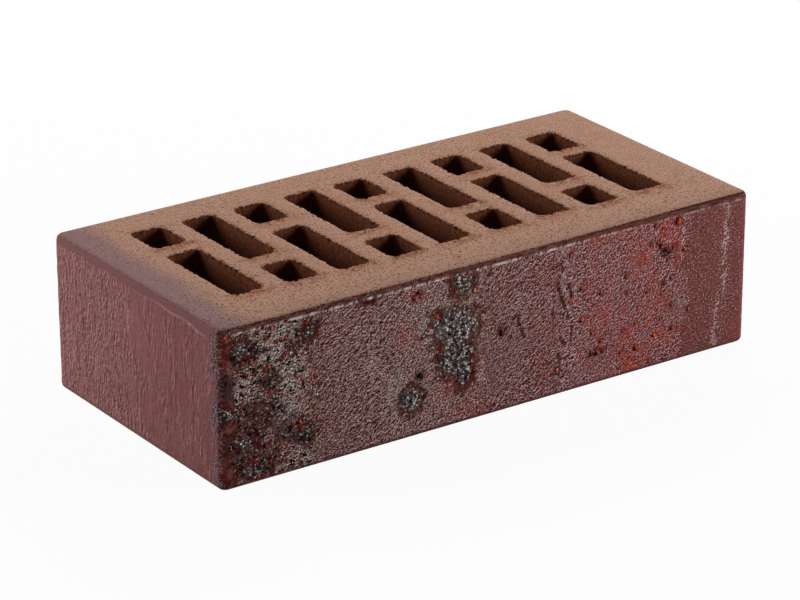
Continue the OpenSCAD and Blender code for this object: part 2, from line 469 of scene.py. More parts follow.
firing = {
    # slag: x, z, half width, half height, lean in degrees, swelling in mm, soot
    "slag": [
        (-116.6, 55.4, 3.6, 3.9, 0, 0.7, 0.8), (-109.2, 53.2, 1.9, 1.8, 0, 0.8, 1.0),
        (-92.8, 50.3, 1.5, 1.3, 0, 0.6, 0.5), (-85.9, 55.8, 2.6, 2.8, 0, 0.6, 0.9),
        (-123.2, 31.2, 3.0, 3.2, 0, 0.6, 0.9), (-115.6, 18.4, 4.6, 2.5, 0, 0.6, 0.8),
        (-87.6, 15.4, 3.0, 3.4, 0, 0.9, 1.0), (-111.0, 5.8, 6.8, 2.3, 0, 0.6, 0.8),
        (-16.0, 58.6, 4.4, 3.7, 0, 0.8, 0.6), (-19.6, 41.4, 10.0, 7.4, -8, 1.0, 0.15),
        (-19.4, 28.2, 7.4, 6.8, 0, 0.9, 0.5), (-14.4, 21.0, 2.6, 4.6, -20, 0.6, 0.8),
        (-39.4, 16.1, 4.5, 4.6, 0, 1.0, 0.35), (-58.6, 63.2, 2.0, 1.0, 0, 0.3, 0.5),
    ],
    # scorched ground: x, z, half width, half height, lean
    "scorch": [
        (-108.0, 27.0, 11.0, 9.0, 0), (-121.0, 18.5, 4.0, 4.5, 0), (-112.0, 10.0, 11.0, 8.0, 0),
        (-116.0, 54.0, 6.0, 7.0, 0), (-88.0, 15.0, 5.5, 6.0, 0), (-122.0, 42.0, 3.5, 6.0, 0),
        (-103.0, 40.0, 5.0, 6.0, 20), (-86.0, 55.8, 5.0, 5.0, 0), (-97.0, 18.0, 6.0, 6.0, 0),
        (82.8, 48.6, 3.2, 2.8, 0),
    ],
    # grey halo: x, z, half width, half height, lean
    "halo": [
        (-100.0, 52.0, 13.0, 9.0, 0), (-18.0, 36.0, 13.5, 20.0, 0), (-28.0, 46.0, 10.0, 9.0, 0),
        (-39.0, 18.0, 9.5, 8.5, 0), (-16.0, 57.0, 9.0, 7.0, 0), (-96.0, 26.0, 7.0, 9.0, 0),
        (-94.0, 40.0, 8.0, 8.0, 0), (-47.0, 22.0, 5.0, 9.0, 0),
    ],
    # iron red: x, z, half width, half height, strength
    "red": [
        (-124.0, 56.0, 2.6, 9.0, 0.7), (-123.8, 12.0, 2.2, 11.0, 0.6), (-88.0, 46.0, 3.0, 3.0, 0.6),
        (-86.5, 38.0, 4.5, 3.0, 0.7), (-97.0, 11.0, 4.5, 3.0, 0.6), (-37.3, 58.4, 4.0, 3.6, 1.0),
        (-42.0, 43.0, 5.0, 5.0, 0.7), (-22.0, 17.0, 7.0, 5.0, 0.7), (-14.0, 6.0, 9.0, 4.5, 0.8),
        (32.5, 30.0, 2.4, 2.6, 0.7), (28.8, 24.0, 2.6, 1.8, 0.7), (47.5, 61.0, 6.0, 3.0, 0.8),
        (60.4, 61.0, 4.0, 3.0, 0.8), (50.0, 26.3, 6.0, 7.0, 0.8), (64.0, 16.0, 7.0, 8.0, 0.7),
        (84.6, 57.0, 5.6, 7.0, 1.0), (82.8, 12.6, 6.0, 5.0, 0.8), (66.5, 6.3, 7.0, 5.0, 1.0),
        (-10.5, 23.0, 2.6, 8.0, 1.0), (70.0, 49.0, 7.0, 9.0, 0.7), (77.0, 28.0, 6.0, 12.0, 0.5),
        (-12.0, 62.0, 6.0, 2.0, 0.7),
    ],
    # marks of the die on the header: points along each one, y and z, then half width and height
    "draws": [
        ([(39, 36), (40, 27), (38, 16), (37, 3)], 0.9, 0.35),
        ([(21, 57), (21.5, 40), (20.5, 25)], 0.7, 0.25), ([(33, 55), (32, 44), (34, 34)], 0.8, 0.3),
        ([(45, 52), (44, 30), (46, 12)], 0.8, 0.25), ([(-14, 50), (-15, 34)], 0.6, 0.2),
        ([(-28.5, 59), (-29, 36)], 0.6, 0.2), ([(-8, 44), (-8.5, 33)], 0.6, 0.2),
        ([(9, 20), (7, 8)], 0.7, 0.2), ([(-40, 50), (-41, 25)], 0.6, 0.15),
    ],
    # cracks: points along each one, x and z
    "cracks": [
        [(10.0, 39.3), (11.4, 34.0), (13.3, 28.8)],
        [(29.2, 48.0), (30.6, 43.0), (32.2, 39.0), (34.6, 32.0)], [(30.8, 24.7), (33.3, 20.5)],
        [(30.8, 55.5), (31.7, 52.0)], [(35.2, 46.0), (36.0, 40.0)],
        [(30.0, 18.0), (31.5, 12.0), (30.5, 8.0)], [(36.4, 28.0), (36.0, 22.0)],
        [(-110.6, 45.0), (-109.6, 47.2), (-106.6, 46.6)], [(-107.8, 41.0), (-105.4, 40.0)],
        [(-39.0, 58.0), (-37.0, 59.4), (-35.6, 57.6)], [(-112.0, 30.0), (-107.0, 32.5), (-102.5, 29.5)],
        [(-113.0, 24.0), (-108.0, 21.5), (-103.0, 23.0)],
    ],
    # burnt grains: x, z, size in mm, tone from dark red 0 to pale orange 1, and black below 0, which is
    # painted shadow in crevices and beside grains
    "grains": [
        (-111.3, 49.7, 1.6, 0.6), (-105.5, 45.3, 1.7, 0.5), (-104.0, 46.5, 1.5, 0.95),
        (-96.1, 49.7, 1.8, 0.6), (-98.0, 47.2, 1.4, 0.5), (-85.1, 44.0, 1.5, 0.6),
        (-92.0, 39.7, 1.3, 0.5), (-95.9, 55.0, 1.5, 0.6), (-105.0, 57.6, 1.7, 0.6),
        (-102.2, 61.2, 1.6, 0.95), (-118.0, 23.4, 1.6, 0.5), (-106.3, 27.2, 1.9, 0.6),
        (-109.3, 18.4, 1.5, 0.6), (-105.5, 14.7, 1.6, 0.6), (-90.3, 20.5, 2.2, 0.95),
        (-89.3, 17.6, 2.0, 0.7), (-103.6, 7.8, 1.6, 0.6), (-99.7, 10.9, 1.4, 0.5),
        (-112.4, 11.1, 1.6, 0.6), (-44.0, 61.0, 1.4, 0.6), (-35.3, 25.5, 1.6, 0.45),
        (-35.5, 25.3, 3.2, -0.9), (-29.0, 30.3, 1.6, 0.5), (-6.5, 38.8, 1.6, 0.5), (-2.8, 59.3, 1.5, 0.3),
        (-56.0, 11.1, 1.3, 0.6), (-30.9, 42.8, 1.6, 0.95), (-19.8, 30.0, 1.4, 0.8),
        (-16.5, 28.8, 1.5, 0.9), (-11.9, 25.9, 1.6, 0.5), (-29.4, 49.7, 1.4, 0.6),
        (-27.8, 47.6, 1.6, 0.6), (-19.0, 51.3, 1.4, 0.5), (-19.0, 55.5, 1.6, 0.6),
        (-14.0, 61.0, 1.5, 0.6), (-10.3, 54.3, 1.7, 0.7), (-24.0, 61.8, 1.4, 0.5), (2.9, 34.7, 1.7, 0.5),
        (2.7, 34.5, 3.2, -0.9), (35.8, 57.8, 1.6, 0.6), (27.3, 54.7, 1.3, 0.5), (41.7, 43.0, 2.0, 0.6),
        (35.8, 38.8, 1.5, 0.6), (27.7, 35.5, 1.3, 0.5), (51.0, 38.6, 1.6, 0.6), (41.7, 29.7, 2.0, 0.5),
        (63.3, 42.8, 1.7, 0.6), (64.4, 35.5, 1.5, 0.5), (47.0, 22.6, 1.5, 0.6), (46.3, 13.6, 2.2, 0.1),
        (49.6, 13.8, 2.2, 0.8), (51.9, 14.0, 2.0, 0.1), (62.0, 20.0, 1.5, 0.6), (61.5, 10.7, 1.5, 0.5),
        (29.8, 11.3, 1.5, 0.6), (51.3, 18.4, 1.5, 0.6), (88.8, 60.3, 2.6, 0.6), (77.5, 61.2, 1.6, 0.6),
        (80.9, 57.8, 1.7, 0.6), (78.8, 53.6, 1.6, 0.6), (75.3, 53.6, 1.5, 0.5), (80.7, 51.3, 1.6, 0.6),
        (86.9, 50.0, 1.7, 0.6), (92.3, 48.0, 1.7, 0.7), (84.2, 45.0, 1.5, 0.5), (81.9, 35.7, 1.9, 0.5),
        (86.3, 37.0, 1.5, 0.6), (74.2, 33.8, 1.7, 0.7), (81.3, 31.3, 1.5, 0.5), (69.8, 28.0, 1.5, 0.6),
        (68.2, 21.8, 1.4, 0.5), (80.9, 20.5, 1.5, 0.5), (95.3, 21.5, 1.7, 0.7), (87.1, 15.3, 1.9, 0.7),
        (78.0, 14.3, 1.5, 0.5), (69.0, 11.1, 2.0, 0.6), (75.9, 3.6, 1.5, 0.6), (83.2, 3.2, 1.5, 0.7),
        (86.5, 25.5, 1.4, 0.5), (96.9, 45.5, 0.8, 0.1), (82.0, 49.5, 1.6, -0.9), (84.6, 48.0, 1.3, -0.9),
        (80.2, 52.0, 1.4, -0.9), (-110.8, 46.0, 1.8, -0.9), (-109.8, 44.2, 1.5, -0.9),
        (-107.6, 41.6, 1.8, -0.9), (-106.2, 39.6, 1.6, -0.9), (-119.4, 52.6, 2.0, -0.9),
        (-113.6, 51.0, 1.8, -0.9), (-112.2, 54.8, 1.8, -0.9), (-90.2, 13.4, 1.8, -0.9),
        (-86.0, 12.2, 1.6, -0.9), (-112.6, 20.8, 1.8, -0.9), (-104.6, 24.6, 1.5, -0.9),
        (-110.6, 28.2, 1.6, -0.9), (-114.6, 31.4, 1.6, -0.9), (-119.6, 17.0, 1.8, -0.9),
        (-105.2, 4.6, 1.6, -0.9), (-116.8, 7.6, 1.6, -0.9), (-99.5, 28.4, 1.3, -0.9),
        (-36.6, 59.6, 1.6, -0.9), (-38.4, 57.4, 1.4, -0.9), (-12.0, 24.0, 1.6, -0.9),
        (-11.0, 20.4, 1.5, -0.9),
    ],
    # strength along the face of the drawn strokes and of the pebbled skin
    "stroke": [
        (-125, 0.0), (-95, 0.2), (-85, 0.6), (-75, 0.7), (-66, 1.0), (-50, 1.1), (-46, 0.7), (-42, 0.2),
        (-8, 0.2), (-2, 0.7), (10, 0.9), (22, 0.7), (27, 0.6), (30, 0.9), (37, 0.9), (42, 0.3), (90, 0.2),
        (94, 0.0), (125, 0.0),
    ],
    "pebble": [
        (-125, 0.3), (-90, 0.5), (-80, 0.45), (-50, 0.5), (-44, 0.8), (-10, 0.8), (-4, 0.5), (25, 0.45),
        (32, 0.7), (40, 0.8), (88, 0.8), (92, 0.5), (105, 0.45), (109, 0.5), (116, 0.5), (119, 0.4),
        (125, 0.3),
    ],
    # crinkled ridges that catch the light: points along each one, then its half width
    "gleam": [
        ([(114, 62), (113, 45), (112, 25), (108, 3)], 2.0),
        ([(32, 63), (34, 45), (35, 22), (31, 4)], 3.2), ([(-6, 46), (-5, 30), (-6, 16)], 1.0),
        ([(-46, 22), (-46.5, 14), (-45, 5)], 1.4), ([(-62, 45), (-54, 26), (-50, 14)], 3.0),
        ([(91, 60), (92, 47), (88, 42)], 1.4),
    ],
    # strength along the face of the painted highlight on the wrinkle crests, and of the warm red
    "sheen": [
        (-90, 1.0), (-80, 0.82), (-50, 0.82), (-40, 0.95), (-10, 0.98), (-4, 0.82), (20, 0.82),
        (40, 0.93), (90, 0.93), (95, 0.85),
    ],
    "warmth": [
        (-125, 0.0), (-90, 0.1), (-60, 0.3), (-20, 0.25), (10, 0.45), (30, 0.6), (50, 1.0), (88, 1.0),
        (95, 0.6), (125, 0.55),
    ],
}


# slag in the middle of the face, and the sootier slag of the gritty end
slagKinds = {
    # raggedness of the edge, share of bare glass, red-brown rim in mm, least strength of the rim
    "middle": {"torn": 1.0, "clear": 0.93, "rim": 2.2, "leastRim": 0.75},
    "end": {"torn": 1.8, "clear": 0.55, "rim": 1.6, "leastRim": 0.35},
}
# where the finishes begin and end, in mm: x along the face, y into the brick, z up, drop from the top
skinZones = {
    "middle": 60,               # x within which slag is of the middle kind
    "grit": (-90, -78),         # x over which the gritty end fades out
    "strip": (-121.5, -118.5),  # x over which the smooth strip beside the left edge ends
    "greyEnd": (91, 96),        # x over which the face turns greyer
    "band": (2.5, 2.1),         # drop over which the dark band of the face ends
    "lowBand": (2.2, 1.2),      # z over which the lower one ends
    "stripe": (3.5, 3.2),       # the same two on the other sides
    "lowStripe": (3.0, 2.0),
    "seam": (2.65, 0.25),       # drop and half width of the raised seam under the band, painted pale as its highlight
    "headerSeam": (3.6, 0.35),
    "seamStart": (-121, -114),  # x over which the seam begins
    "seamEnd": (40, 70),        # x over which it gets thin
    "bloom": (-50, -57),        # y over which the pale bloom of the header's front edge begins
    "paler": (-60, 55),         # y over which the header turns paler, as painted light
    "peel": (-10, 35),          # y over which its skin peels
    "flash": (-117, -106),      # x over which the flashed end of the bed fades out
}


def spotDistance(x, z, spot, seed, torn=1.0):
    # distance from a spot's middle, 1 at its ragged edge
    lean = math.radians(spot[4])
    dx, dz = x - spot[0], z - spot[1]
    across = dx * math.cos(lean) + dz * math.sin(lean)
    up = dz * math.cos(lean) - dx * math.sin(lean)
    ragged = 1 + torn * (0.16 * drift(x, z, 5.0, seed) + 0.10 * drift(x, z, 2.2, seed + 1))
    return np.hypot(across / spot[2], up / spot[3]) * ragged


def lineDistance(x, z, line):
    nearest = np.full_like(x, 99.0)
    for (x0, z0), (x1, z1) in zip(line, line[1:]):
        share = ((x - x0) * (x1 - x0) + (z - z0) * (z1 - z0)) / ((x1 - x0) ** 2 + (z1 - z0) ** 2)
        share = np.clip(share, 0, 1)
        nearest = np.minimum(nearest, np.hypot(x - x0 - share * (x1 - x0), z - z0 - share * (z1 - z0)))
    return nearest


def bell(away, width):
    return np.exp(-(away / width) ** 2)


def deepen(masks, name, values):
    # where marks overlap, the strongest one counts
    masks[name] = np.maximum(masks[name], values)


def paintMarks(masks, x, z, front):
    # slag, scorched ground, grey halos, red patches, cracks and grains of the face
    for n, spot in enumerate(firing["slag"]):
        kind = slagKinds["middle" if abs(spot[0]) < skinZones["middle"] else "end"]
        away = spotDistance(x, z, spot, 40 + 3 * n, kind["torn"])
        deepen(masks, "slag", front * (1 - smooth(kind["clear"], 1.06, away)))
        deepen(masks, "soot", spot[6] * (1 - smooth(0.8, 1.3, away)))
        grow = 1 + kind["rim"] / min(spot[2], spot[3])
        patchy = np.clip(0.85 + 0.6 * drift(x, z, 8, 90 + n), kind["leastRim"], 1)
        deepen(masks, "burn", front * patchy * (1 - smooth(grow * 0.85, grow * 1.2, away)))
        swell = front * spot[5] * (1.1 - 0.5 * away ** 2)
        deepen(masks, "push", swell * (1 - smooth(0.88, 1.06, away)))
    for name, seed in (("scorch", 140), ("halo", 200)):
        for n, spot in enumerate(firing[name]):
            away = spotDistance(x, z, spot, seed + 3 * n)
            deepen(masks, name, front * (1 - smooth(0.55, 1.3, away)))
    for n, (a, b, wide, high, strength) in enumerate(firing["red"]):
        away = spotDistance(x, z, (a, b, wide, high, 0), 260 + 3 * n)
        deepen(masks, "red", front * strength * (1 - smooth(0.4, 1.35, away)))
    for line in firing["cracks"]:
        # a thin groove between raised lips, with painted shade along it
        away = lineDistance(x + 0.4 * drift(x, z, 4, 7), z, line)
        masks["push"] += front * (0.25 * bell(away - 1.1, 0.5) - 0.35 * bell(away, 0.4))
        deepen(masks, "burn", front * bell(away, 0.5))
    for a, b, size, _ in firing["grains"]:
        # each grain sits in a shallow hollow, with painted shadow round it
        away = np.hypot(x - a, z - b) / size
        masks["push"] -= front * 0.25 * bell(away, 0.75)
        deepen(masks, "burn", front * 0.5 * np.exp(-(away / 0.9) ** 4))


def paintFace(masks, x, y, z, front, turned):
    # grit at the left end, strokes and pebbles along the face, and the ridges that gleam
    deepen(masks, "red", turned * np.clip(0.15 + 0.45 * drift(y, z, 9, 33), 0, 0.6))
    deepen(masks, "scorch", 0.15 * turned)
    ragged = x + 4 * drift(x, z, 14, 3)
    masks["strip"] = front * (1 - smooth(*skinZones["strip"], x + 1.2 * drift(x, z, 6, 71)))
    grit = np.maximum(1 - smooth(*skinZones["grit"], ragged), 0.4 * masks["halo"]) * (1 - 0.8 * turned)
    masks["grit"] = front * grit * (1 - 0.5 * masks["scorch"]) * (1 - masks["slag"])
    masks["grit"] *= 1 - masks["strip"]
    for name, underHalo in (("stroke", 0.5), ("pebble", 0.1)):
        along = np.interp(ragged, *zip(*firing[name]))
        masks[name] = front * along * (1 - masks["slag"]) * (1 - 0.5 * turned)
        masks[name] *= 1 - underHalo * masks["halo"]
        masks[name] *= 1 - 0.8 * masks["strip"]
    for n, (line, wide) in enumerate(firing["gleam"]):
        away = lineDistance(x + 1.2 * drift(x, z, 9, 300 + n), z, line)
        dashed = np.clip(0.45 + 0.9 * drift(x, z, 4, 130 + n), 0, 1)
        deepen(masks, "gleam", front * dashed * bell(away, wide))
    masks["pebble"] += 0.35 * masks["gleam"]
    deepen(masks, "halo", 0.12 * front * smooth(*skinZones["greyEnd"], x))
    # the burnt rims of the slag, with the painted shadows round the grains and along the cracks
    masks["ring"] = masks["burn"] * (1 - masks["slag"])
    masks["sheen"] = (1 - 0.75 * masks["scorch"]) * (1 - 0.85 * masks["ring"])
    masks["sheen"] *= np.interp(x, *zip(*firing["sheen"]))
    masks["warm"] = np.interp(x, *zip(*firing["warmth"]))
    masks["front"] = front


def paintEdges(masks, x, y, z, wall, front, header):
    # the dark bands along both beds, and the broken raised seam under the upper one, with its painted
    # highlight
    drop = block["height"] - z
    sag = header * (0.6 * drift(y, 0 * z, 24, 77) + 1.3 * smooth(-30, -54, y))
    masks["band"] = front * (smooth(*skinZones["band"], drop) + smooth(*skinZones["lowBand"], z))
    stripe = smooth(*skinZones["stripe"], drop - sag) + smooth(*skinZones["lowStripe"], z)
    masks["stripe"] = wall * (1 - front) * stripe
    broken = np.clip(0.3 + 0.6 * drift(x + y, z, 9, 5) + 0.8 * drift(x + y, z, 2.6, 55), 0, 1)
    broken *= 1 - 0.7 * smooth(*skinZones["seamEnd"], x)
    level, width = skinZones["seam"]
    masks["lip"] = front * bell(drop - level, width) * broken * smooth(*skinZones["seamStart"], x)
    level, width = skinZones["headerSeam"]
    masks["lip"] += header * bell(drop - sag - level, width) * np.maximum(broken, 0.45) * smooth(10, -40, y)
    return (1 - masks["band"]) * (1 - masks["stripe"])


def paintSides(masks, y, z, normal, wall, front, header, plain):
    # the drawn skin of the headers and the back, and the bloom round the front left edge
    hidden = wall * np.maximum(smooth(0.2, 0.6, normal[:, 0]), smooth(0.2, 0.6, normal[:, 1]))
    masks["hidden"] = hidden
    masks["streak"] = wall * (1 - front) * plain * (1 - 0.3 * hidden)
    # painted light: the header is paler towards the back, where more light falls on it
    masks["back"] = smooth(*skinZones["paler"], y + 6 * drift(y, z, 30, 37)) * (1 - 0.8 * hidden)
    peel = smooth(*skinZones["peel"], y + 8 * drift(y, z, 22, 9))
    masks["peel"] = masks["streak"] * np.clip(0.35 + peel, 0, 1)
    drawn = 0.4 + 0.9 * drift(y, z / 2, 11, 19) + 0.2 * masks["back"]
    masks["drawn"] = masks["streak"] * np.clip(drawn, 0.08, 1.1)
    bloom = header * smooth(*skinZones["bloom"], y + 2.0 * drift(y, z, 7, 12))
    bloom = bloom + front * smooth(0.3, 0.85, -normal[:, 0])
    masks["bloom"] = bloom * np.clip(0.8 + 0.4 * drift(y, z, 14, 6), 0.2, 1)


def paintBed(masks, x, y, z, wall, front, flat):
    # wire-cut beds: pits, the flashed left end, torn ground, painted shade down the slots, and painted
    # shadow along the rims round the slots
    drop = block["height"] - z
    inward = np.minimum(block["length"] / 2 - np.abs(x), block["width"] / 2 - np.abs(y))
    masks["bed"] = flat * (1 - wall) * (drop < 1) * smooth(2, 9, inward)
    cutEnd = 0.85 - 0.55 * front * smooth(30, 110, x)
    masks["cut"] = wall * smooth(0.05, cutEnd, np.minimum(drop, z))
    masks["flash"] = 1 - smooth(*skinZones["flash"], x + 1.5 * drift(x, y, 20, 15))
    masks["pitted"] = 0.6 + 0.4 * smooth(0, -45, y) - 0.3 * smooth(90, 112, x)
    masks["edge"] = 0.2 * bell(y + block["width"] / 2, 9)
    # painted shade: the slot walls get darker with depth below the bed
    masks["deep"] = 1 - np.exp(-drop / 8)
    radius = block["slotRadius"]
    for a, b, c, d in slots:
        # direction and distance from the slot's outline
        beside, ahead = x - (a + b) / 2, y - (c + d) / 2
        beside = np.maximum(np.abs(beside) - (b - a) / 2 + radius, 0) * np.sign(beside)
        ahead = np.maximum(np.abs(ahead) - (d - c) / 2 + radius, 0) * np.sign(ahead)
        reach = np.maximum(np.hypot(beside, ahead), 1e-6)
        away = np.abs(reach - radius)
        toRight, toBack, toFront = (np.clip(v / reach, 0, 1) for v in (beside, ahead, -ahead))
        deepen(masks, "torn", (toFront + 0.35 * toRight + 0.3 * toBack) * bell(away, 3.0 + 2.0 * toFront))
        # painted shadow along the rims, darkest on the right and back sides, where the broken notches look
        # into the shaded slot
        dark = 0.35 + 0.65 * np.maximum(toRight, toBack)
        deepen(masks, "rim", dark * bell(away, 0.5) * bell(drop, 1.0))
    masks["torn"] = flat * masks["torn"] * np.clip(0.75 + 0.5 * drift(x, y, 5, 21), 0, 1)


def paintBlock(place, normal, flat):
    # the masks that relief and colour follow, one number for each point
    x, y, z = place.T
    wall = (np.abs(normal).sum(1) > 0.1).astype(float)
    front = wall * smooth(0.02, 0.35, -normal[:, 1])
    header = wall * smooth(0.35, 0.85, -normal[:, 0]) * (1 - front)
    turned = front * smooth(0.03, 0.3, -normal[:, 0])  # where the face turns to the left header
    empty = ("slag", "soot", "burn", "scorch", "halo", "red", "push", "gleam", "torn", "rim")
    masks = {name: np.zeros(len(x)) for name in empty}
    paintMarks(masks, x, z, front)
    for n, (line, wide, high) in enumerate(firing["draws"]):
        away = lineDistance(y + 0.8 * drift(y, z, 9, 400 + n), z, line)
        masks["push"] += header * high * bell(away, wide)
    paintFace(masks, x, y, z, front, turned)
    plain = paintEdges(masks, x, y, z, wall, front, header)
    for name in ("stroke", "pebble", "grit", "gleam"):
        masks[name] *= plain
    masks["push"] = masks["push"] * plain + 0.35 * masks["lip"]
    paintSides(masks, y, z, normal, wall, front, header, plain)
    paintBed(masks, x, y, z, wall, front, flat)
    return masks


def makeBlockObject():
    used = np.unique(np.concatenate([np.asarray(f) for f in faces]))
    renumber = np.zeros(len(points), int)
    renumber[used] = np.arange(len(used))
    place = np.array(points)[used]
    mesh = bpy.data.meshes.new("brickBody")
    mesh.from_pydata((place * mm).tolist(), [], [renumber[f].tolist() for f in faces])
    mesh.polygons.foreach_set("material_index", zones)
    shape = bmesh.new()
    shape.from_mesh(mesh)
    bmesh.ops.recalc_face_normals(shape, faces=shape.faces)
    shape.to_mesh(mesh)
    shape.free()
    mesh.shade_smooth()
    flat = np.zeros(len(points))
    for face, zone in zip(faces, zones):
        if zoneNames[zone] == "bed":
            flat[face] = 1
    for name, values in paintBlock(place, np.array(facing)[used], flat[used]).items():
        attribute = mesh.attributes.new(name, "FLOAT", "POINT")
        attribute.data.foreach_set("value", values.astype(np.float32))
    return addObject("brickBody", mesh)


# relief of the fired skin, as rules along the surface; depths in mm

relief = {
    "Wrinkle depth": 0.38,
    "Stroke depth": 0.22,
    "Pebble depth": 0.22,
    "Streak depth": 0.13,
    "Peel depth": 0.17,
    "Grit depth": 0.5,
    "Pit depth": 1.0,
    "Slag depth": 0.8,
    "Slag lump depth": 0.9,
    "Bed depth": 0.16,
}
# depth, mask, lean about Y in degrees, size of the pattern in mm, detail, shape
reliefLayers = [
    ("Wrinkle depth", "stroke", 34, (3.4, 3.4, 1.7), 2.0, "plain"),
    ("Stroke depth", "stroke", 30, (3.0, 3.0, 1.1), 1.5, "plain"),
    ("Pebble depth", "pebble", 0, (1.7, 1.7, 1.5), 1.5, "plain"),
    ("Streak depth", "streak", 0, (2.4, 2.4, 34.0), 1.5, "plain"),
    ("Peel depth", "peel", 0, (2.3, 2.3, 3.2), 1.5, "plain"),
    ("Grit depth", "grit", 0, (1.7, 1.7, 1.7), 2.0, "plain"),
    ("Pit depth", "grit", 0, (2.9, 2.9, 2.9), 0.0, "pit"),
    ("Slag depth", "slag", 0, (2.6, 2.6, 2.4), 2.0, "plain"),
    ("Slag lump depth", "slag", 0, (1.7, 1.7, 1.7), 0.0, "lump"),
    ("Bed depth", "bed", 0, (1.6, 4.5, 1.6), 2.0, "plain"),
]


def pattern(tree, place, size, detail=2.0, rough=0.5, lean=0, spread=(0.3, 0.7), reach=(0.0, 1.0),
            curl=0.0):
    # noise of a grain size in mm along X, Y and Z, leaned about Y, curled and spread over a reach
    turned = addNode(tree, "ShaderNodeVectorRotate", {"Vector": place, "Angle": math.radians(lean)},
                     rotation_type="Y_AXIS")
    scaled = addNode(tree, "ShaderNodeVectorMath", {0: turned, 1: [1 / (s * mm) for s in size]},
                     operation="MULTIPLY")
    noise = addNode(tree, "ShaderNodeTexNoise", {"Vector": scaled, "Scale": 1.0, "Detail": detail,
                                                 "Roughness": rough, "Distortion": curl})
    return addNode(tree, "ShaderNodeMapRange", {"Value": noise, "From Min": spread[0], "From Max": spread[1],
                                                "To Min": reach[0], "To Max": reach[1]})


def newTree(name, inputs):
    tree = bpy.data.node_groups.new(name, "GeometryNodeTree")
    tree.interface.new_socket("Geometry", in_out="INPUT", socket_type="NodeSocketGeometry")
    for socketName, kind in inputs:
        tree.interface.new_socket(socketName, in_out="INPUT", socket_type=kind)
    tree.interface.new_socket("Geometry", in_out="OUTPUT", socket_type="NodeSocketGeometry")
    source = addNode(tree, "NodeGroupInput").node
    return tree, source.outputs


def runTree(body, tree, values):
    # sets the named inputs, runs the tree and keeps its result as a plain mesh
    modifier = body.modifiers.new(tree.name, "NODES")
    modifier.node_group = tree
    for item in tree.interface.items_tree:
        if item.in_out == "INPUT" and item.name in values:
            modifier[item.identifier] = values[item.name]
    bpy.context.view_layer.update()
    graph = bpy.context.evaluated_depsgraph_get()
    ready = body.evaluated_get(graph)
    mesh = bpy.data.meshes.new_from_object(ready, preserve_all_data_layers=True, depsgraph=graph)
    body.modifiers.remove(modifier)
    old = body.data
    body.data = mesh
    bpy.data.meshes.remove(old)
    mesh.name = body.name


def reliefTree():
    tree, given = newTree("fired relief", [(name, "NodeSocketFloat") for name in relief])
    place = addNode(tree, "GeometryNodeInputPosition")
    total = 0.0
    for depth, mask, lean, size, detail, shape in reliefLayers:
        if shape == "plain":
            height = pattern(tree, place, size, detail, lean=lean, spread=(0.25, 0.75), reach=(-1.0, 1.0))
        else:
            scaled = addNode(tree, "ShaderNodeVectorMath", {0: place, 1: [1 / (s * mm) for s in size]},
                             operation="MULTIPLY")
            cell = addNode(tree, "ShaderNodeTexVoronoi", {"Vector": scaled, "Scale": 1.0}).node
            chance = addNode(tree, "FunctionNodeSeparateColor", {0: cell.outputs["Color"]})
            # lumps fill their cells, and pits are as wide as chance makes them
            width = addNode(tree, "ShaderNodeMapRange",
                            {"Value": chance, "From Min": 0.6, "To Min": 0.02, "To Max": 0.45})
            start, end, low, high = (0.1, 0.7, 0.6, -1.0) if shape == "lump" else (0.0, width, -1.0, 0.0)
            height = addNode(tree, "ShaderNodeMapRange",
                             {"Value": cell.outputs["Distance"], "From Min": start, "From Max": end,
                              "To Min": low, "To Max": high})
        where = addNode(tree, "GeometryNodeInputNamedAttribute", {"Name": mask}, data_type="FLOAT")
        for share in (where, given[depth]):
            height = addNode(tree, "ShaderNodeMath", {0: height, 1: share}, operation="MULTIPLY")
        total = addNode(tree, "ShaderNodeMath", {0: height, 1: total}, operation="ADD")
    push = addNode(tree, "GeometryNodeInputNamedAttribute", {"Name": "push"}, data_type="FLOAT")
    lifted = addNode(tree, "ShaderNodeMath", {0: total, 1: push}, operation="ADD")
    metres = addNode(tree, "ShaderNodeMath", {0: lifted, 1: mm}, operation="MULTIPLY")
    normal = addNode(tree, "GeometryNodeInputNormal")
    offset = addNode(tree, "ShaderNodeVectorMath", {0: normal, "Scale": metres}, operation="SCALE")
    marked = addNode(tree, "GeometryNodeStoreNamedAttribute",
                     {"Geometry": given["Geometry"], "Name": "fold", "Value": total},
                     data_type="FLOAT", domain="POINT")
    moved = addNode(tree, "GeometryNodeSetPosition", {"Geometry": marked, "Offset": offset})
    addNode(tree, "NodeGroupOutput", {"Geometry": moved})
    return tree


# materials


def coats(tree, colour, layers):
    # lays coats of colour over each other: the mask or masks of each one, how dense it is, and its tone
    colour = linearColour(colour) if isinstance(colour, str) else colour
    for where, dense, tone in layers:
        share = dense
        for mask in where if isinstance(where, tuple) else (where,):
            share = addNode(tree, "ShaderNodeMath", {0: mask, 1: share}, operation="MULTIPLY")
        tone = linearColour(tone) if isinstance(tone, str) else tone
        colour = addNode(tree, "ShaderNodeMix", {0: share, 6: colour, 7: tone}, 2, data_type="RGBA")
    return colour


def finishMaterial(tree, colour, roughness, shine, bump=None):
    inputs = {"Base Color": colour, "Roughness": roughness, "Specular IOR Level": shine}
    if bump is not None:
        inputs["Normal"] = bump
    surface = addNode(tree, "ShaderNodeBsdfPrincipled", inputs)
    addNode(tree, "ShaderNodeOutputMaterial", {"Surface": surface})


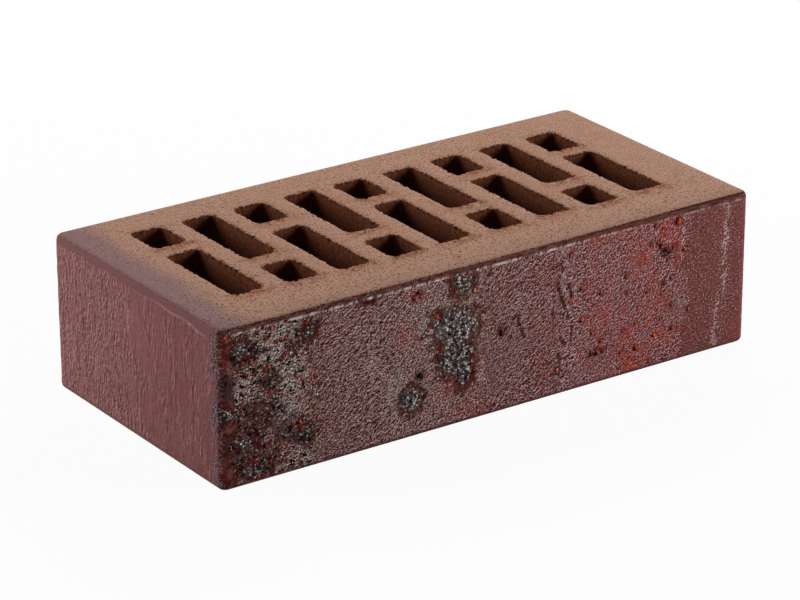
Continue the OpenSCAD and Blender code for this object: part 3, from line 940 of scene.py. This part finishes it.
def bedMaterial():
    # fired clay where the wire cut it: matt, sandy, with small dark pits drawn out along the cut
    # the real sand is finer, and is drawn as coarse as it needs to show
    wanted = ("flash", "edge", "torn", "rim", "cut", "front", "pitted")
    material, tree, mask = startMaterial("wire-cut fired clay", wanted)
    place = addNode(tree, "ShaderNodeTexCoord", out=3)
    cloud = pattern(tree, place, (9, 16, 9), 3.0)
    grain = pattern(tree, place, (0.8, 0.95, 0.8), 1.5, 0.6, spread=(0.34, 0.66))
    pit = pattern(tree, place, (0.8, 1.1, 0.8), 1.0, spread=(0.61, 0.66))
    pit = addNode(tree, "ShaderNodeMath", {0: pit, 1: mask["pitted"]}, operation="MULTIPLY")
    spot = pattern(tree, place, (0.75, 0.95, 0.75), 1.0, spread=(0.49, 0.56))
    # painted shadow in the broken teeth along the rims
    notchShadow = pattern(tree, place, (0.9, 0.9, 0.9), 1.0, spread=(0.46, 0.54))
    notchShadow = addNode(tree, "ShaderNodeMath", {0: notchShadow, 1: mask["rim"]}, operation="MULTIPLY")
    notchShadow = addNode(tree, "ShaderNodeMapRange", {"Value": notchShadow, "From Min": 0.18, "From Max": 0.3})
    # the cut clay gives way to the skin along a worn line on the shoulder
    worn = mask["cut"]
    for more, share in ((grain, 0.7), (cloud, 0.3)):
        worn = addNode(tree, "ShaderNodeMath", {0: more, 1: share, 2: worn}, operation="MULTIPLY_ADD")
    worn = addNode(tree, "ShaderNodeMapRange", {"Value": worn, "From Min": 0.75, "From Max": 1.15})
    skin = coats(tree, "#7B5152", [(mask["front"], 1.0, "#47201D")])
    speckle = coats(tree, "#775140", [(grain, 1.0, "#C7A28C")])
    colour = coats(tree, "#9C7561", [
        (cloud, 1.0, "#A9846E"),
        (1.0, 0.36, speckle),
        (mask["flash"], 0.8, "#7C6266"),
        (mask["edge"], 1.0, "#5E4744"),
        (mask["torn"], 0.85, "#9C6448"),
        ((spot, mask["torn"]), 0.95, "#562518"),
        (pit, 0.85, "#4A271A"),
        (notchShadow, 0.95, "#120703"),
        (worn, 1.0, skin),
    ])
    rough = addNode(tree, "ShaderNodeMath", {0: pit, 1: -1.2, 2: grain}, operation="MULTIPLY_ADD")
    bump = addNode(tree, "ShaderNodeBump", {"Strength": 0.7, "Distance": 0.3 * mm, "Height": rough})
    finishMaterial(tree, colour, 0.9, 0.05, bump)
    return material


def slotMaterial():
    # fired clay as the die left it inside the slots, with painted shade that darkens it further down
    material, tree, mask = startMaterial("extruded fired clay", ("rim", "deep"))
    place = addNode(tree, "ShaderNodeTexCoord", out=3)
    grain = pattern(tree, place, (1.0, 1.0, 1.6), 3.0, 0.6)
    notchShadow = pattern(tree, place, (0.9, 0.9, 0.9), 1.0, spread=(0.46, 0.54))
    colour = coats(tree, "#52291B", [
        (grain, 1.0, "#784833"),
        (mask["deep"], 0.7, "#2A150D"),
        # painted shadow along the rims and in their notches
        (mask["rim"], 0.4, "#2A120A"),
        ((notchShadow, mask["rim"]), 0.4, "#0C0402"),
    ])
    bump = addNode(tree, "ShaderNodeBump", {"Strength": 0.15, "Distance": 0.3 * mm, "Height": grain})
    finishMaterial(tree, colour, 0.9, 0.02, bump)
    return material


# textures of the skin: mask, lean about Y in degrees, size of the pattern in mm, detail, roughness, curl,
# step towards the light in mm over which the slope is taken, slope that counts as full
faceTexture = [
    ("stroke", 38, (2.6, 2.6, 1.1), 2.0, 0.55, 0.9, (-0.24, 0, 0.32), 0.3),
    ("stroke", 22, (1.2, 1.2, 0.7), 1.0, 0.5, 0.9, (-0.16, 0, 0.3), 0.45),
    ("pebble", 45, (1.2, 1.2, 0.9), 2.0, 0.8, 0.2, (-0.26, 0, 0.24), 0.22),
    ("grit", 0, (1.0, 1.0, 0.9), 1.5, 0.7, 0.2, (-0.2, 0, 0.3), 0.16),
]
sideTexture = [
    ("drawn", 0, (1.6, 1.6, 7.5), 2.5, 0.55, 1.2, (0.25, 0.4, 0.2), 0.3),
    ("peel", 0, (1.2, 1.2, 1.7), 1.0, 0.5, 0.4, (0.25, 0.4, 0.2), 0.35),
]
wrinkleFlow = {"wave": 25, "shift": 9}  # mm over which the wrinkles change course, and by how much


def slopes(tree, place, layers, mask):
    # height of the layers, and how far they face the light, from -1 to 1
    height, shade = 0.0, 0.0
    for name, lean, size, detail, uneven, curl, step, steep in layers:
        shift = [v * mm for v in step]
        beside = addNode(tree, "ShaderNodeVectorMath", {0: place, 1: shift}, operation="ADD")
        here, there = (
            pattern(tree, spot, size, detail, uneven, lean, reach=(-0.5, 0.5), curl=curl)
            for spot in (place, beside)
        )
        slope = addNode(tree, "ShaderNodeMath", {0: here, 1: there}, operation="SUBTRACT")
        slope = addNode(tree, "ShaderNodeMapRange", {"Value": slope, "From Min": -steep, "From Max": steep,
                                                     "To Min": -1.0, "To Max": 1.0})
        height, shade = (
            addNode(tree, "ShaderNodeMath", {0: more, 1: mask[name], 2: total}, operation="MULTIPLY_ADD")
            for more, total in ((here, height), (slope, shade))
        )
    return height, shade


def drawnColour(tree, place, mask, drawn, frost, soil):
    # headers and back: mauve red-brown, drawn along the extrusion
    cloud = pattern(tree, place, (16, 16, 45))
    score = pattern(tree, place, (1.1, 1.1, 12), 2.0, 0.6, spread=(0.36, 0.28))
    light = addNode(tree, "ShaderNodeMapRange", {"Value": drawn, "From Min": 0.1, "From Max": 1.2})
    shadow = addNode(tree, "ShaderNodeMapRange", {"Value": drawn, "From Min": -0.1, "From Max": -1.2})
    return coats(tree, "#704241", [
        (mask["back"], 1.0, "#885A59"),
        (cloud, 0.3, "#8C5F5E"),
        (light, 0.5, "#A8827F"),
        (shadow, 0.45, "#4A2322"),
        (score, 0.35, "#5C2C2B"),
        (mask["hidden"], 0.4, "#55302E"),
        (mask["stripe"], 0.8, "#714849"),
        (mask["lip"], 0.7, "#B09BA0"),
        (mask["bloom"], 1.0, "#5E454A"),
        ((frost, mask["bloom"]), 0.8, "#98868B"),
        ((soil, mask["bloom"]), 0.85, "#301C20"),
    ])


def slagColour(tree, place, mask):
    # glass of the slag lumps: dark melt, sooty in places, with painted glints on broken facets
    cells = addNode(tree, "ShaderNodeVectorMath", {0: place, 1: [1 / (0.9 * mm)] * 3}, operation="MULTIPLY")
    cells = addNode(tree, "ShaderNodeTexVoronoi", {"Vector": cells, "Scale": 1.0}).node
    away = cells.outputs["Distance"]
    chance = addNode(tree, "ShaderNodeSeparateColor", {0: cells.outputs["Color"]})
    dome = addNode(tree, "ShaderNodeMapRange", {"Value": away, "From Min": 0.6, "From Max": 0.4})
    facetGlint = addNode(tree, "ShaderNodeMapRange", {"Value": chance, "From Min": 0.68, "From Max": 0.85})
    dull = addNode(tree, "ShaderNodeMapRange", {"Value": mask["soot"], "To Min": 1.0, "To Max": 0.4})
    melt = pattern(tree, place, (2.2, 2.2, 1.8), 3.0, 0.7, spread=(0.4, 0.62))
    return coats(tree, "#281D1B", [
        (melt, 1.0, "#705F5B"),
        (mask["soot"], 0.85, "#191212"),
        ((facetGlint, dome, dull), 1.0, "#E6DEDA"),
    ])


def wrinkleLightAndShade(tree, mask, shade):
    # painted highlight on the upper sides of the wrinkles, painted shade below them
    height = shade
    for more, share in ((mask["fold"], 0.25), (mask["gleam"], 0.18)):
        height = addNode(tree, "ShaderNodeMath", {0: more, 1: share, 2: height}, operation="MULTIPLY_ADD")
    crestHighlight = addNode(tree, "ShaderNodeMapRange", {"Value": height, "From Min": 0.44, "From Max": 0.85})
    dipShade = addNode(tree, "ShaderNodeMapRange", {"Value": height, "From Min": -0.1, "From Max": -0.5})
    return crestHighlight, dipShade


def rednessOf(tree, place, mask):
    # iron red in patches, and in a mottle between the pebbles of the warm part
    patchy = pattern(tree, place, (3.2, 3.2, 4.4), 4.0, 0.75, spread=(0.38, 0.58))
    mottle = pattern(tree, place, (6, 6, 9), 3.0, 0.6, spread=(0.5, 0.62))
    for part in (mask["warm"], mask["pebble"]):
        mottle = addNode(tree, "ShaderNodeMath", {0: mottle, 1: part}, operation="MULTIPLY")
    redness = addNode(tree, "ShaderNodeMath", {0: mottle, 1: 0.7, 2: mask["red"]}, operation="MULTIPLY_ADD")
    return addNode(tree, "ShaderNodeMath", {0: patchy, 1: redness}, operation="MULTIPLY", use_clamp=True)


def faceColour(tree, place, mask, shade, speck, frost, soil):
    # face: wrinkled skin with a painted highlight on the crests and painted shade in the folds, burnt,
    # gritty and glazed with slag in places
    crestHighlight, dipShade = wrinkleLightAndShade(tree, mask, shade)
    redness = rednessOf(tree, place, mask)
    ember = pattern(tree, place, (1.7, 1.7, 1.7), 2.0, spread=(0.58, 0.65))
    ragged = pattern(tree, place, (2.4, 2.4, 2.4), 2.0, spread=(0.38, 0.58), reach=(0.7, 1.0))
    # painted shadow: black in the pits of the gritty and scorched parts
    pitShadow = pattern(tree, place, (3.0, 3.0, 2.0), 1.5, spread=(0.575, 0.605))
    burnt = addNode(tree, "ShaderNodeMath", {0: mask["grit"], 1: mask["scorch"]}, operation="MAXIMUM")
    glint = pattern(tree, place, (1.2, 1.2, 1.0), 1.0, 0.5, 90, (0.64, 0.67))
    worn = pattern(tree, place, (4, 4, 0.9), 3.0, 0.7, spread=(0.42, 0.68))
    # flecks of ash and open pores between the pebbles
    ashen = speck
    for more, share in ((mask["warm"], -0.05), (mask["gleam"], 0.06)):
        ashen = addNode(tree, "ShaderNodeMath", {0: more, 1: share, 2: ashen}, operation="MULTIPLY_ADD")
    fleck = addNode(tree, "ShaderNodeMapRange", {"Value": ashen, "From Min": 0.58, "From Max": 0.61})
    pore = addNode(tree, "ShaderNodeMapRange", {"Value": speck, "From Min": 0.41, "From Max": 0.38})
    pale = coats(tree, "#CFB7B0", [(mask["warm"], 1.0, "#CAADAF"), (mask["grit"], 0.7, "#BCABA3")])
    dark = coats(tree, "#2C0F0C", [(mask["warm"], 1.0, "#3E100C"), (mask["grit"], 1.0, "#0E0504")])
    rust = coats(tree, "#64221B", [(mask["warm"], 1.0, "#92382C")])
    band = coats(tree, "#240A08", [(worn, 1.0, "#7E514A"), (mask["warm"], 0.5, "#5A2924")])
    return coats(tree, "#5F3130", [
        (mask["warm"], 1.0, "#7B3936"),
        (mask["grit"], 0.5, "#5C2A23"),
        (mask["halo"], 0.9, "#84716A"),
        (mask["strip"], 0.85, "#72443E"),
        (mask["bloom"], 0.6, "#6E5056"),
        (redness, 1.0, "#84281D"),
        (mask["scorch"], 0.85, "#2D1F1E"),
        (mask["burn"], 0.85, "#451610"),
        ((crestHighlight, mask["sheen"]), 1.0, pale),
        (dipShade, 0.9, dark),
        (redness, 0.85, rust),
        ((fleck, mask["pebble"], mask["sheen"]), 1.0, pale),
        ((pore, mask["pebble"]), 0.8, "#2E0D0A"),
        ((ember, mask["grit"]), 0.75, "#6A2014"),
        ((ragged, mask["ring"]), 1.0, "#45140D"),
        ((frost, mask["bloom"]), 0.7, "#98868B"),
        ((soil, mask["bloom"]), 0.7, "#2A1214"),
        ((pitShadow, burnt), 1.0, "#030101"),
        ((glint, mask["grit"]), 0.7, "#D5C9C2"),
        (mask["slag"], 1.0, slagColour(tree, place, mask)),
        (mask["band"], 1.0, band),
        (mask["lip"], 1.0, "#D6C9C3"),
    ])


def skinMaterial():
    # flashed engobe on fired clay: a thin sintered skin, drawn on the headers, wrinkled on the face
    wanted = (
        "front", "band", "stripe", "lip", "slag", "soot", "burn", "ring", "scorch", "halo", "red", "warm",
        "grit", "stroke", "pebble", "strip", "gleam", "sheen", "fold", "back", "hidden", "bloom", "drawn",
        "peel",
    )
    material, tree, mask = startMaterial("flashed clay skin", wanted)
    place = addNode(tree, "ShaderNodeTexCoord", out=3)
    speck = pattern(tree, place, (0.8, 0.8, 0.7), 1.0, spread=(0.0, 1.0))
    frost = addNode(tree, "ShaderNodeMapRange", {"Value": speck, "From Min": 0.54, "From Max": 0.62})
    soil = addNode(tree, "ShaderNodeMapRange", {"Value": speck, "From Min": 0.46, "From Max": 0.38})
    drawnHeight, drawn = slopes(tree, place, sideTexture, mask)
    # the wrinkles of the face change course
    wave, shift = wrinkleFlow["wave"] * mm, wrinkleFlow["shift"] * mm
    flow = addNode(tree, "ShaderNodeVectorMath", {0: place, 1: [1 / wave] * 3}, operation="MULTIPLY")
    flow = addNode(tree, "ShaderNodeTexNoise", {"Vector": flow, "Scale": 1.0, "Detail": 1.0}, 1)
    flow = addNode(tree, "ShaderNodeVectorMath", {0: flow, 1: (shift, 0, shift), 2: place},
                   operation="MULTIPLY_ADD")
    faceHeight, shade = slopes(tree, flow, faceTexture, mask)
    plain = drawnColour(tree, place, mask, drawn, frost, soil)
    face = faceColour(tree, place, mask, shade, speck, frost, soil)
    colour = coats(tree, plain, [(mask["front"], 1.0, face)])
    rough = addNode(tree, "ShaderNodeMix", {0: mask["front"], 2: drawnHeight, 3: faceHeight},
                    data_type="FLOAT")
    bump = addNode(tree, "ShaderNodeBump", {"Strength": 0.9, "Distance": 0.4 * mm, "Height": rough})
    gloss = addNode(tree, "ShaderNodeMapRange", {"Value": mask["front"], "To Min": 0.6, "To Max": 0.5})
    finishMaterial(tree, colour, gloss, 0.03, bump)
    return material


def slagMaterial():
    # coal slag burnt into the face: dark grey glass, with painted glints on some cut facets
    material, tree, mask = startMaterial("glassy coal slag", ("tone",))
    pale = addNode(tree, "ShaderNodeMath", {0: mask["tone"], 1: 3.5}, operation="POWER")
    colour = coats(tree, "#2A2423", [(pale, 1.0, "#D8D0CC")])
    finishMaterial(tree, colour, 0.25, 0.4)
    return material


def grainMaterial():
    # burnt clay grains: matt, from black and dark red to pale orange; the black ones beside grains and in
    # crevices are painted shadow
    material, tree, mask = startMaterial("burnt clay grain", ("tone",))
    layers = []
    for start, end, tone in ((-0.1, 0.0, "#4A120C"), (0.1, 0.6, "#BA4E2E"), (0.6, 1.0, "#D8936C")):
        reach = {"Value": mask["tone"], "From Min": start, "From Max": end}
        layers.append((addNode(tree, "ShaderNodeMapRange", reach), 1.0, tone))
    colour = coats(tree, "#060202", layers)
    finishMaterial(tree, colour, 0.6, 0.05)
    return material


# bits burnt into the surface, scattered by the masks: sizes in mm, density for each square metre

scatters = {
    "slagShards": {
        "Mask": "slag", "Density": 0.9e6, "Least": 0.16, "Largest": 0.45, "Flatten": 0.7,
        "Least tone": 0.0, "Largest tone": 1.0, "Seed": 3,
    },
    "faceGrains": {
        "Mask": "red", "Density": 0.05e6, "Least": 0.25, "Largest": 0.8, "Flatten": 0.5,
        "Least tone": 0.15, "Largest tone": 0.7, "Seed": 5,
    },
    "gritGrains": {
        "Mask": "grit", "Density": 0.06e6, "Least": 0.3, "Largest": 1.0, "Flatten": 0.5,
        "Least tone": -0.3, "Largest tone": 0.3, "Seed": 8,
    },
    "rimCrumbs": {
        "Mask": "torn", "Density": 0.4e6, "Least": 0.15, "Largest": 0.6, "Flatten": 0.7,
        "Least tone": 0.0, "Largest tone": 1.0, "Seed": 13,
    },
}


def finishScatter(tree, given, spots, normal, size, tone, flatten):
    # one chipped grain on each point, flattened on the surface, then made plain mesh
    chip = addNode(tree, "GeometryNodeMeshIcoSphere", {"Radius": 1.0, "Subdivisions": 1})
    upright = addNode(tree, "FunctionNodeAlignRotationToVector", {"Vector": normal}, axis="Z")
    spin, uneven = (
        addNode(tree, "FunctionNodeRandomValue", {0: low, 1: high, "Seed": given["Seed"]},
                data_type="FLOAT_VECTOR")
        for low, high in (((-0.4, -0.4, 0), (0.4, 0.4, 6.28)), ((0.5, 0.5, 0.7), (1.4, 1.4, 1.1)))
    )
    turned = addNode(tree, "FunctionNodeRotateRotation", {"Rotation": upright, "Rotate By": spin},
                     rotation_space="LOCAL")
    flat = addNode(tree, "ShaderNodeCombineXYZ", {0: 1.0, 1: 1.0, 2: flatten})
    uneven = addNode(tree, "ShaderNodeVectorMath", {0: uneven, 1: flat}, operation="MULTIPLY")
    scale = addNode(tree, "ShaderNodeVectorMath", {0: uneven, "Scale": size}, operation="SCALE")
    bits = addNode(tree, "GeometryNodeInstanceOnPoints",
                   {"Points": spots, "Instance": chip, "Rotation": turned, "Scale": scale})
    bits = addNode(tree, "GeometryNodeStoreNamedAttribute",
                   {"Geometry": bits, "Name": "tone", "Value": tone}, data_type="FLOAT", domain="INSTANCE")
    bits = addNode(tree, "GeometryNodeRealizeInstances", {"Geometry": bits})
    bits = addNode(tree, "GeometryNodeSetMaterial", {"Geometry": bits, "Material": given["Material"]})
    addNode(tree, "NodeGroupOutput", {"Geometry": bits})


def scatterTree():
    floats = ["Density", "Least", "Largest", "Flatten", "Least tone", "Largest tone"]
    inputs = [("Mask", "NodeSocketString"), ("Seed", "NodeSocketInt"), ("Material", "NodeSocketMaterial")]
    inputs += [(name, "NodeSocketFloat") for name in floats]
    tree, given = newTree("scattered grains", inputs)
    seed = given["Seed"]
    where = addNode(tree, "GeometryNodeInputNamedAttribute", {"Name": given["Mask"]}, data_type="FLOAT")
    density = addNode(tree, "ShaderNodeMath", {0: where, 1: given["Density"]}, operation="MULTIPLY")
    spots = addNode(tree, "GeometryNodeDistributePointsOnFaces",
                    {"Mesh": given["Geometry"], "Density": density, "Seed": seed},
                    distribute_method="RANDOM").node
    # many small grains and a few large ones
    chance = addNode(tree, "FunctionNodeRandomValue", {"Seed": seed}, 1, data_type="FLOAT")
    chance = addNode(tree, "ShaderNodeMath", {0: chance, 1: 2.0}, operation="POWER")
    size = addNode(tree, "ShaderNodeMapRange",
                   {"Value": chance, "To Min": given["Least"], "To Max": given["Largest"]})
    metres = addNode(tree, "ShaderNodeMath", {0: size, 1: mm}, operation="MULTIPLY")
    tone = addNode(tree, "FunctionNodeRandomValue",
                   {2: given["Least tone"], 3: given["Largest tone"], "Seed": seed}, 1, data_type="FLOAT")
    found = spots.outputs
    finishScatter(tree, given, found["Points"], found["Normal"], metres, tone, given["Flatten"])
    return tree


# the burnt grains that are placed one by one: shares of each grain's listed size
placed = {
    "radius": 0.42,
    "flatten": 0.55,
    "rise": 0.1,          # how far a bright grain stands out of the face
    "secondChip": 0.6,    # size of the chip beside each grain
    "secondAway": 0.45,
    "shadowChip": 0.6,       # size of the black chip below a bright grain, its painted shadow
    "shadowShift": (-0.4, -0.35),
    "seed": 17,
}


def grainTree():
    tree, given = newTree("placed grains", [("Seed", "NodeSocketInt"), ("Material", "NodeSocketMaterial")])
    size = addNode(tree, "GeometryNodeInputNamedAttribute", {"Name": "size"}, data_type="FLOAT")
    tone = addNode(tree, "GeometryNodeInputNamedAttribute", {"Name": "tone"}, data_type="FLOAT")
    metres = addNode(tree, "ShaderNodeMath", {0: size, 1: placed["radius"] * mm}, operation="MULTIPLY")
    spots = addNode(tree, "GeometryNodeMeshToPoints", {"Mesh": given["Geometry"]})
    finishScatter(tree, given, spots, (0, -1, 0), metres, tone, placed["flatten"])
    return tree


def placedGrains():
    mesh = bpy.data.meshes.new("placedGrains")
    # each grain is two chips and, below the brighter ones, a black chip as its painted shadow
    grains = []
    for x, z, size, tone in firing["grains"]:
        # turn, size and tone vary a little from place to place
        turn = 6.28 * (7.3 * x % 1)
        tone = tone + 0.3 * (3.7 * z % 1) - 0.15 - 0.25 * (x < -skinZones["middle"])
        away, second = placed["secondAway"] * size, placed["secondChip"] * size
        grains.append((x, z, size * (0.9 + 0.3 * (5.1 * x % 1)), tone))
        grains.append((x + away * math.cos(turn), z + away * math.sin(turn), second, tone - 0.2))
        if tone > 0.3:
            dx, dz = placed["shadowShift"]
            grains.append((x + dx * size, z + dz * size, placed["shadowChip"] * size, -1.0))
    face = -block["width"] / 2
    places = [(x, face - placed["rise"] * size * (tone > 0), z) for x, z, size, tone in grains]
    mesh.from_pydata((np.array(places) * mm).tolist(), [], [])
    for name, column in (("size", 2), ("tone", 3)):
        attribute = mesh.attributes.new(name, "FLOAT", "POINT")
        attribute.data.foreach_set("value", [g[column] for g in grains])
    return addObject("placedGrains", mesh)


def triangles(piece):
    return sum(len(p.vertices) - 2 for p in piece.data.polygons)


def finishPiece(piece):
    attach(piece, "root")
    print(piece.name + ":", triangles(piece), "triangles")


def makeBrick():
    body = makeBlockObject()
    print("brick: masks painted")
    for material in (skinMaterial(), bedMaterial(), slotMaterial()):
        body.data.materials.append(material)
    runTree(body, reliefTree(), relief)
    print("brick: relief done,", triangles(body), "triangles")
    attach(body, "root")
    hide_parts("brick")
    slag, grain, clay = slagMaterial(), grainMaterial(), body.data.materials[zoneNames.index("bed")]
    looks = {"slagShards": slag, "faceGrains": grain, "gritGrains": grain, "rimCrumbs": clay}
    tree = scatterTree()
    for name, settings in scatters.items():
        piece = addObject(name, body.data.copy())
        runTree(piece, tree, {**settings, "Material": looks[name]})
        finishPiece(piece)
    grains = placedGrains()
    runTree(grains, grainTree(), {"Seed": placed["seed"], "Material": grain})
    finishPiece(grains)


makeBrick()
makeCamera(cameraView)
makeRoom(studio)
makeFloor(studio)
scene.view_settings.view_transform = "Standard"
